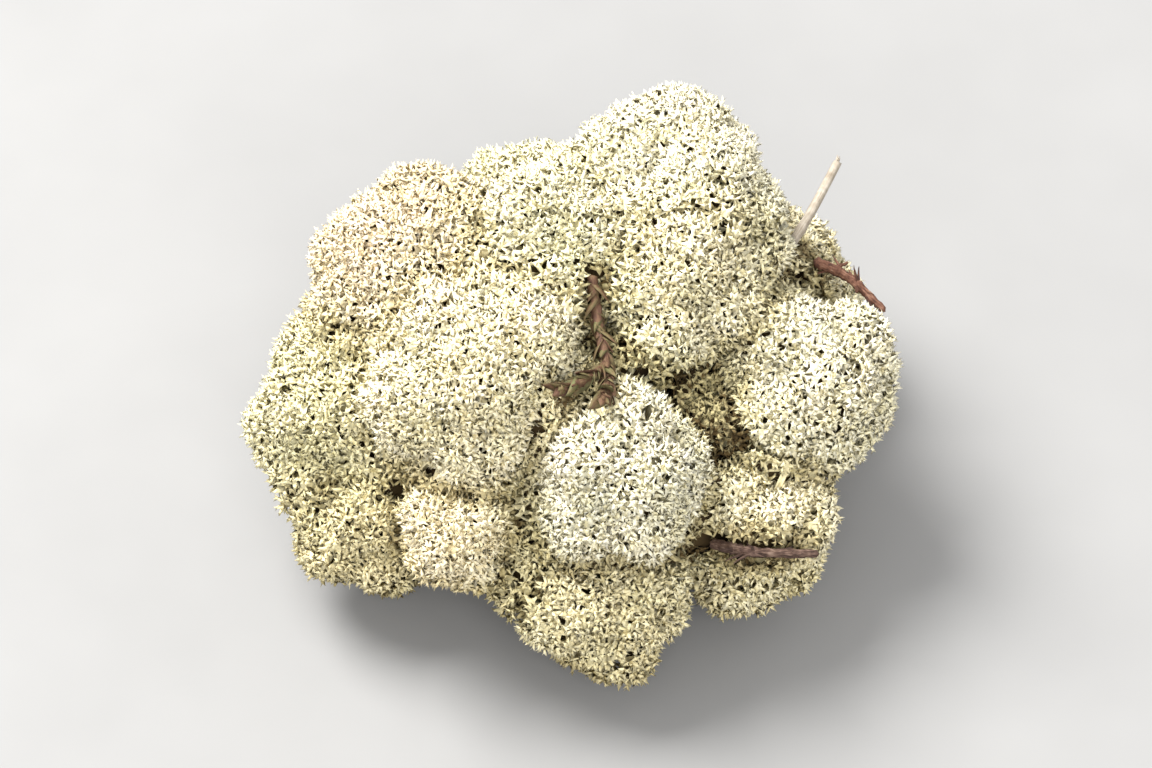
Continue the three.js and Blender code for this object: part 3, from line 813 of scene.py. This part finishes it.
def make_dead_branches():
    """The tangle of dead, forked older branches that the humus holds."""
    growth = Growth()
    rng = np.random.default_rng(MAT_SEED + 1)
    outs = cap_directions(np.array([0.0, 0.0, -1.0]), DEAD_COVER, DEAD_BRANCHES, 0)
    starts = MAT_MIDDLE + (mat_surface(outs) - MAT_MIDDLE) * HUMUS_SHARE
    for out, start in zip(outs, starts):
        wander = rng.normal(size=3)
        wander -= out * (wander @ out) * 0.8
        direction = unit(unit(wander) + 0.45 * out)
        length, radius = rng.uniform(*DEAD_LENGTH), rng.uniform(*DEAD_RADIUS)
        add_dead_branch(growth, start, direction, length, radius, 2, rng)
    return growth


# ----- Litter -----


def add_twig(growth, piece, sides, rng, knots, ridges=0.0):
    """A twig along the CAD's curve, with knots, or a straw with ridges along it."""
    points, (thick, thin) = piece
    path = through(points, TWIG_RINGS)
    t = np.linspace(0, 1, TWIG_RINGS)
    radii = thick + (thin - thick) * t
    swell = sum(KNOT_SWELL * np.exp(-(((t - at) / KNOT_LENGTH) ** 2)) for at in knots)
    lumps = 0 if ridges else BARK_ROUGH * rng.normal(size=(TWIG_RINGS, sides))
    relief = 0.9 + swell[:, None] + lumps + ridges * np.cos(np.arange(sides) * math.pi)
    add_tube(growth, path, radii, sides, rng.uniform(0.35, 0.65, TWIG_RINGS), relief)
    return path


def make_straw():
    """A bleached grass stalk, ridged along its length and frayed at one end."""
    growth = Growth()
    rng = np.random.default_rng(LITTER_SEED + 2)
    path = add_twig(growth, STRAW, 16, rng, [0.38], STRAW_RIDGE)
    ahead = unit(path[-1] - path[-4])
    for _ in range(FRAYS):
        start = path[-1] - ahead * 0.6 + 0.22 * rng.normal(size=3)
        lean = unit(ahead + 0.16 * rng.normal(size=3))
        fray = start + lean * np.linspace(0, rng.uniform(*FRAY_LENGTH), len(FRAY_RADII))[:, None]
        add_tube(growth, fray, FRAY_RADII, 4, 0.3)
    return growth


def make_bark_twig(piece, seed, knots, spurs, needles):
    """A brown twig with knots, a few broken spurs and dry needles that cling to it."""
    growth = Growth()
    rng = np.random.default_rng(LITTER_SEED + seed)
    path = add_twig(growth, piece, 12, rng, knots)
    for at, length in spurs:
        i = int(at * (len(path) - 1))
        ahead = unit(path[min(i + 1, len(path) - 1)] - path[i - 1])
        out = unit(np.cross(ahead, rng.normal(size=3)))
        lean = unit(out + 0.7 * ahead)
        spur = path[i] + lean * np.linspace(0, length, len(SPUR_RADII))[:, None]
        add_tube(growth, spur + 0.05 * rng.normal(size=spur.shape), SPUR_RADII, 6, 0.6)
    for _ in range(needles):
        k = int(rng.uniform(0.15, 0.8) * (len(path) - 1))
        ahead = unit(path[k + 1] - path[k])
        turn = rng.uniform(0, TURN)
        out = unit(rng.choice([-2, 2]) * ahead + around(turn, *sideways(ahead)))
        add_leaf(growth, path[k], ahead, out, rng.uniform(*NEEDLE_LENGTH), NEEDLE_WIDTH, rng.random(), rng)
    return growth


def make_bent_twig():
    return make_bark_twig(BENT_TWIG, seed=3, knots=[0.3, 0.62], spurs=[(0.3, 1.6), (0.62, 1.2)], needles=12)


def make_low_twig():
    spurs = [(0.25, 1.3), (0.8, 1.5)]
    return make_bark_twig(LOW_TWIG, seed=4, knots=[0.25, 0.5, 0.8], spurs=spurs, needles=7)


def add_leaf(growth, foot, ahead, out, length, width, tone, rng):
    """A small pointed leaf on a twig that runs ahead, folded along its midrib and curled."""
    t = np.linspace(0, 1, LEAF_ROWS)
    across = unit(np.cross(ahead, out))
    lift = np.cross(out, across)
    spine = foot + np.outer(t * length, out) + np.outer(rng.uniform(*LEAF_CURL) * length * t**2, lift)
    half = width / 2 * np.sin(math.pi * (0.94 * t + 0.06) ** 0.75)[:, None]
    fold = rng.uniform(*LEAF_FOLD) * lift
    belly = LEAF_THICKNESS * lift * np.sin(math.pi * (0.1 + 0.8 * t))[:, None]
    grain = np.outer(t * length, [0, 0, 1])
    left = growth.add(spine + half * (fold - across), tone, grain - [1, 0, 0])
    right = growth.add(spine + half * (fold + across), tone, grain + [1, 0, 0])
    top = growth.add(spine + belly, tone + 0.12, grain)
    under = growth.add(spine - belly, tone + 0.05, grain)
    for a, b in ((left, top), (top, right), (right, under), (under, left)):
        join_rows(growth, a[:-1], b[:-1], a[1:], b[1:])
    growth.join([(left[0], under[0], top[0]), (top[0], under[0], right[0])])
    growth.join([(left[-1], top[-1], under[-1]), (top[-1], right[-1], under[-1])])


def add_shoot(growth, piece, leaves, knots, rng):
    """A twig with small leaves round it: the CAD's, and smaller ones between them."""
    path = add_twig(growth, piece, 8, rng, knots)
    draw = random_from(LITTER_SEED)
    step = LEAVES_BETWEEN + 1
    for i in range(leaves * step):
        t = (i / step + 0.5) / leaves
        k = min(int(t * (len(path) - 1)), len(path) - 2)
        ahead = unit(path[k + 1] - path[max(k - 1, 0)])
        main = i % step == 0
        turn = i / step * LEAF_TURN + 0.6 * draw() if main else rng.uniform(0, TURN)
        out = unit(ahead + around(turn, *sideways(ahead)))
        length = LEAF_LENGTH * (1 if main else rng.uniform(*SMALL_LEAF[0]))
        width = LEAF_WIDTH * (1 if main else rng.uniform(*SMALL_LEAF[1]))
        add_leaf(growth, path[k] + out * LEAF_FOOT, ahead, out, length, width, rng.uniform(0, 0.5), rng)


def make_sprig():
    """A dry heather twig and its side shoot, with browned and olive leaves."""
    growth = Growth()
    rng = np.random.default_rng(LITTER_SEED + 1)
    add_shoot(growth, SPRIG, LEAVES, [0.2, 0.45, 0.7], rng)
    add_shoot(growth, SIDE_SHOOT, SIDE_LEAVES, [0.5], rng)
    return growth


# ----- Materials -----


class Look:
    """A material, and the nodes that make its colour and relief."""

    def __init__(self, name, roughness, specular=0.25):
        self.material = bpy.data.materials.new(name)
        self.material.use_nodes = True
        self.tree = self.material.node_tree
        self.shader = self.tree.nodes["Principled BSDF"]
        self.feed(self.shader, {"Roughness": roughness, "Specular IOR Level": specular})

    def feed(self, node, inputs):
        """Sets inputs to values, or to outputs of other nodes."""
        for socket, value in inputs.items():
            if isinstance(value, bpy.types.NodeSocket):
                self.tree.links.new(value, node.inputs[socket])
            else:
                node.inputs[socket].default_value = value

    def add(self, kind, inputs, **settings):
        node = self.tree.nodes.new("ShaderNode" + kind)
        for name, value in settings.items():
            setattr(node, name, value)
        self.feed(node, inputs)
        return node

    def attribute(self, name, output):
        return self.add("Attribute", {}, attribute_name=name).outputs[output]

    def noise(self, scale, detail, roughness=0.6, place=None):
        if place is None:
            place = self.add("TexCoord", {}).outputs["Object"]
        inputs = {"Vector": place, "Scale": scale, "Detail": detail, "Roughness": roughness}
        return self.add("TexNoise", inputs).outputs["Fac"]

    def fibres(self, scale, stretch):
        """Noise in a piece's own pattern, drawn out along its fibres."""
        place = self.add("Mapping", {"Vector": self.attribute("grain", "Vector"), "Scale": (1, 1, stretch)})
        return self.noise(scale, 5, 0.65, place.outputs["Vector"])

    def math(self, operation, a, b):
        return self.add("Math", {0: a, 1: b}, operation=operation).outputs[0]

    def age_and_shade(self, pattern, contrast):
        """The age of each branch, with painted shade added to it on the lichen, raised and lowered by a
        pattern.
        """
        shift = self.math("SUBTRACT", self.math("MULTIPLY", pattern, contrast), contrast / 2)
        return self.math("ADD", self.attribute("age_and_shade", "Fac"), shift)

    def ramp(self, factor, stops):
        node = self.add("ValToRGB", {"Fac": factor})
        elements = node.color_ramp.elements
        while len(elements) < len(stops):
            elements.new(0.5)
        for element, (at, color) in zip(elements, stops):
            element.position = at
            element.color = (*color, 1)
        return node.outputs["Color"]

    def times(self, color, other, share=1.0):
        inputs = {0: share, 6: color, 7: other}
        return self.add("Mix", inputs, data_type="RGBA", blend_type="MULTIPLY").outputs[2]

    def darker(self, color, pattern, dark, low, high, share):
        """The colour, multiplied by a dark one where a pattern is low."""
        return self.times(color, self.ramp(pattern, [(low, dark), (high, (1, 1, 1))]), share)

    def finish(self, color, relief, strength, height):
        bump = self.add("Bump", {"Height": relief, "Strength": strength, "Distance": height * MM})
        self.feed(self.shader, {"Base Color": color, "Normal": bump.outputs["Normal"]})
        return self.material


def linear(srgb):
    """A colour given as 0 to 255 sRGB, for a shader."""
    c = np.array(srgb) / 255
    return tuple(np.where(c <= 0.04045, c / 12.92, ((c + 0.055) / 1.055) ** 2.4))


# The colour of a head's tips
TINTS = {
    "pinkish": (247, 232, 208),
    "white": (253, 248, 229),
    "cream": (252, 244, 218),
    "tan": (253, 240, 213),
    "greenish": (248, 244, 218),
    "greyish": (252, 248, 232),
}
UNDER_TIPS = linear((245, 240, 220))  # times the tint
OLD_GREY = linear((206, 197, 166))
DEAD_BROWN = linear((98, 82, 56))
FOOT_BROWN = linear((50, 38, 23))


def blended_tint(points):
    """The tint at points, which runs softly from each head into the next."""
    colors = np.array([(*linear(TINTS[head.tint]), 1) for head in heads])
    off = np.stack([np.linalg.norm(points - head.centre, axis=1) - head.radius for head in heads], axis=1)
    weights = np.exp((off.min(axis=1, keepdims=True) - off) / TINT_REACH)
    return (weights / weights.sum(axis=1, keepdims=True)) @ colors


def lichen_material():
    """Matt lichen: pale tips, greener and greyer down the branches, brown at the foot, and darker where
    painted shade is added to the age.
    """
    look = Look("lichen", roughness=0.92)
    blotches, patches, grain = look.noise(260, 4), look.noise(140, 3), look.noise(2600, 5, 0.7)
    color = look.ramp(look.age_and_shade(blotches, 0.14), [
        (0.0, (1, 1, 1)), (0.18, UNDER_TIPS), (0.45, OLD_GREY), (0.72, DEAD_BROWN), (1.0, FOOT_BROWN)])
    color = look.times(color, look.attribute("tint", "Color"))
    color = look.darker(color, patches, (0.9, 0.91, 0.84), low=0.35, high=0.65, share=0.8)
    color = look.darker(color, grain, (0.88, 0.86, 0.8), low=0.3, high=0.7, share=0.6)
    return look.finish(color, look.noise(5200, 4), strength=0.35, height=0.08)


# name: fineness and stretch of its fibres, relief, roughness, contrast of its streaks, colours by age
PLANTS = {
    "humus": (1.6, 1, 0.25, 0.95, 0.4, (30, 22, 15), (52, 39, 26), (78, 60, 40), (104, 84, 58)),
    "dead_lichen": (3, 0.5, 0.08, 0.85, 0.4, (150, 134, 100), (120, 102, 72), (88, 70, 46), (60, 46, 30)),
    "dry_heather": (2.5, 0.4, 0.1, 0.7, 1.4,
                    (100, 100, 64), (112, 99, 66), (108, 82, 60), (94, 66, 52), (74, 55, 43), (54, 42, 33)),
    "straw": (4, 0.08, 0.06, 0.55, 2, (192, 183, 168), (175, 165, 149), (156, 144, 128), (124, 112, 96)),
    "reddish_bark": (2.2, 0.5, 0.16, 0.75, 2.6, (152, 118, 98), (126, 88, 70), (92, 60, 47), (56, 39, 32)),
    "grey_bark": (2.2, 0.5, 0.16, 0.8, 2.6, (140, 118, 104), (108, 86, 74), (78, 58, 50), (48, 36, 30)),
}


def plant_material(name):
    """Dead plant matter: its colour goes by age, with streaks and relief along its own grain."""
    scale, stretch, height, roughness, contrast, *colors = PLANTS[name]
    look = Look(name, roughness)
    stops = zip(np.linspace(0, 1, len(colors)), map(linear, colors))
    color = look.ramp(look.age_and_shade(look.fibres(scale, stretch), contrast), list(stops))
    color = look.darker(color, look.noise(900, 5), (0.62, 0.58, 0.52), low=0.35, high=0.6, share=0.7)
    return look.finish(color, look.fibres(scale * 2.5, stretch), strength=0.6, height=height)


# ----- Pieces -----


def add_object(name, data):
    made = bpy.data.objects.new(name, data)
    bpy.context.scene.collection.objects.link(made)
    return made


def make_piece(name, growth, node, material):
    """A Blender mesh of what has grown, which stands for a CAD node."""
    points, ages_and_shades, grains, faces = growth.arrays()
    mesh = bpy.data.meshes.new(name)
    mesh.from_pydata((points * MM).tolist(), [], faces.tolist())
    mesh.attributes.new("age_and_shade", "FLOAT", "POINT").data.foreach_set("value", np.clip(ages_and_shades, 0, 1))
    mesh.attributes.new("grain", "FLOAT_VECTOR", "POINT").data.foreach_set("vector", grains.ravel())
    mesh.shade_smooth()
    mesh.materials.append(material)
    piece = add_object(name, mesh)
    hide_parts(node)
    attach(piece, "root")
    return piece


heads = [Head(i, name) for i, name in enumerate(HEADS)]
for head in heads:
    head.meet(heads)
lichen = lichen_material()
for head in heads:
    growth = make_head(head)
    piece = make_piece(f"podetium_{head.name}", growth, head.name, lichen)
    tints = blended_tint(growth.arrays()[0])
    piece.data.attributes.new("tint", "FLOAT_COLOR", "POINT").data.foreach_set("color", tints.ravel())

make_piece("mat_humus", make_humus(), "old_branch_mat", plant_material("humus"))
make_piece("mat_dead_branches", make_dead_branches(), "old_branch_mat", plant_material("dead_lichen"))
make_piece("heather_sprig", make_sprig(), "litter_heather_sprig", plant_material("dry_heather"))
make_piece("straw", make_straw(), "litter_straw", plant_material("straw"))
make_piece("bent_twig", make_bent_twig(), "litter_bent_twig", plant_material("reddish_bark"))
make_piece("low_twig", make_low_twig(), "litter_low_twig", plant_material("grey_bark"))

# ----- Floor, light and camera -----

LOOK_AT = np.array([0, 1, 17]) * MM
CAMERA_ELEVATION = math.radians(52)
CAMERA_DISTANCE = 680 * MM
FOCAL_LENGTH = 205
FLOOR_SHADES = [(0.3, linear((133, 132, 130))), (0.7, linear((138, 137, 135)))]
FLOOR_SIZE = 6
SKY = (0.96, 0.97, 1.0, 1)
SKY_STRENGTH = 1.06


def aim(obj):
    direction = Vector(LOOK_AT - np.array(obj.location))
    obj.rotation_euler = direction.to_track_quat("-Z", "Y").to_euler()


def make_floor():
    look = Look("floor", roughness=0.8, specular=0.5)
    look.feed(look.shader, {"Base Color": look.ramp(look.noise(30, 3), FLOOR_SHADES)})
    bpy.ops.mesh.primitive_plane_add(size=FLOOR_SIZE)
    floor = bpy.context.object
    floor.name = "floor"
    floor.data.materials.append(look.material)


def make_light(name, place, size, power):
    light = bpy.data.lights.new(name, "AREA")
    light.shape = "DISK"
    light.size = size
    light.energy = power
    obj = add_object(name, light)
    obj.location = place
    aim(obj)


def make_camera():
    camera = bpy.data.cameras.new("camera")
    camera.lens = FOCAL_LENGTH
    camera.clip_start = 0.01
    obj = add_object("camera", camera)
    back = np.array([0, -math.cos(CAMERA_ELEVATION), math.sin(CAMERA_ELEVATION)])
    obj.location = LOOK_AT + back * CAMERA_DISTANCE
    aim(obj)
    bpy.context.scene.camera = obj


def make_world():
    world = bpy.data.worlds.new("studio")
    bpy.context.scene.world = world
    world.use_nodes = True
    background = world.node_tree.nodes["Background"]
    background.inputs["Color"].default_value = SKY
    background.inputs["Strength"].default_value = SKY_STRENGTH


bpy.context.scene.view_settings.view_transform = "Standard"
make_floor()
make_world()
make_light("key", place=(-0.5, 0.35, 0.9), size=0.7, power=29)
make_light("fill", place=(0.1, -0.9, 0.8), size=0.8, power=9)
make_camera()
